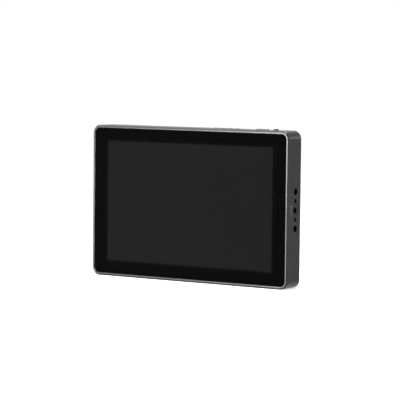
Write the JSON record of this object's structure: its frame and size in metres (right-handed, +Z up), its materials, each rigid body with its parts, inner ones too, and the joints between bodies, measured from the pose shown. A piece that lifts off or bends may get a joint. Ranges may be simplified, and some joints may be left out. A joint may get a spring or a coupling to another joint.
{
  "type": "camera field monitor",
  "caption": "Flat on-camera video monitor with a glass front, keys on top, mounting threads on the side and bottom, side sockets and a slide-on battery plate at the back.",
  "frame": {"origin": "mouth of the threaded hole in the bottom face", "axes": "+X to the viewer's right along the screen, +Y back from the glass, +Z up"},
  "size_m": [0.179, 0.0267, 0.1198],
  "materials": {
    "dark_anodised": "dark grey anodised, fine bead-blasted satin",
    "bright_aluminium": "bright satin-cut aluminium",
    "cover_glass": "clear glass with a black border behind it",
    "black_foam": "black adhesive foam",
    "clear_adhesive": "clear",
    "screen": "dark switched-off screen",
    "clear_plastic": "clear moulded sheet",
    "circuit_board": "green solder mask",
    "steel": "plain steel",
    "black_steel": "black oxide",
    "socket_metal": "plated sheet",
    "chip": "black moulding compound",
    "soft_pad": "soft",
    "black_aluminium": "black anodised",
    "cover_finish": "dark grey satin",
    "black_plastic": "fine moulded grain",
    "latch_plastic": "fine moulded grain",
    "contact_brass": "plated contact",
    "ribbon": "amber film",
    "key_metal": "dark satin",
    "power_key": "black satin"
  },
  "bodies": {
    "case": {"housing": "dark_anodised", "front_frame": "bright_aluminium", "cover_glass": "cover_glass", "glass_tape": "black_foam", "optical_bond": "clear_adhesive", "lcd_panel": "screen", "light_guide": "clear_plastic", "led_strip": "circuit_board", "backlight_tray": "steel", "mid_plate": "steel", "main_board": "circuit_board", "processor": "chip", "memory_chips": "chip", "power_coils": "chip", "thermal_pad": "soft_pad", "heat_sink": "black_aluminium", "right_thread_insert": "steel", "bottom_thread_insert": "steel", "key_switches": "chip", "key_board": "circuit_board", "key_board_screws": "steel", "video_out_socket": "socket_metal", "video_in_socket": "socket_metal", "video_socket_cores": "black_plastic", "data_socket": "socket_metal", "data_socket_core": "black_plastic", "headphone_jack": "black_plastic", "power_jack": "black_plastic", "power_jack_pin": "socket_metal", "rear_cover": "cover_finish", "battery_plate": "black_plastic", "battery_contacts": "contact_brass", "latch_keeper": "black_plastic", "latch_spring": "steel", "display_ribbon": "ribbon", "key_ribbon": "ribbon", "cover_screws": "black_steel", "plate_screws": "black_steel", "mid_plate_screws": "steel", "board_screws": "steel"},
    "power_key": {"power_key": "power_key", "power_stem": "black_plastic"},
    "menu_key_1": {"menu_key_1": "key_metal", "menu_stem_1": "black_plastic"},
    "menu_key_2": {"menu_key_2": "key_metal", "menu_stem_2": "black_plastic"},
    "function_key_1": {"function_key_1": "key_metal", "function_stem_1": "black_plastic"},
    "function_key_2": {"function_key_2": "key_metal", "function_stem_2": "black_plastic"},
    "function_key_3": {"function_key_3": "key_metal", "function_stem_3": "black_plastic"},
    "function_key_4": {"function_key_4": "key_metal", "function_stem_4": "black_plastic"},
    "battery_latch": {"battery_latch": "latch_plastic"}
  },
  "joints": [
    {"name": "power_key_press", "type": "slide", "parent": "case", "child": "power_key", "axis": [0, 0, -1], "range_m": [0, 0.0005], "stiffness_N_per_m": 500, "springref_m": -0.0006},
    {"name": "menu_key_1_press", "type": "slide", "parent": "case", "child": "menu_key_1", "axis": [0, 0, -1], "range_m": [0, 0.0005], "stiffness_N_per_m": 500, "springref_m": -0.0006},
    {"name": "menu_key_2_press", "type": "slide", "parent": "case", "child": "menu_key_2", "axis": [0, 0, -1], "range_m": [0, 0.0005], "stiffness_N_per_m": 500, "springref_m": -0.0006},
    {"name": "function_key_1_press", "type": "slide", "parent": "case", "child": "function_key_1", "axis": [0, 0, -1], "range_m": [0, 0.0005], "stiffness_N_per_m": 500, "springref_m": -0.0006},
    {"name": "function_key_2_press", "type": "slide", "parent": "case", "child": "function_key_2", "axis": [0, 0, -1], "range_m": [0, 0.0005], "stiffness_N_per_m": 500, "springref_m": -0.0006},
    {"name": "function_key_3_press", "type": "slide", "parent": "case", "child": "function_key_3", "axis": [0, 0, -1], "range_m": [0, 0.0005], "stiffness_N_per_m": 500, "springref_m": -0.0006},
    {"name": "function_key_4_press", "type": "slide", "parent": "case", "child": "function_key_4", "axis": [0, 0, -1], "range_m": [0, 0.0005], "stiffness_N_per_m": 500, "springref_m": -0.0006},
    {"name": "battery_latch_press", "type": "slide", "parent": "case", "child": "battery_latch", "axis": [0, -1, 0], "range_m": [0, 0.0021], "stiffness_N_per_m": 600, "springref_m": -0.0008, "deforming": ["latch_spring"]}
  ]
}
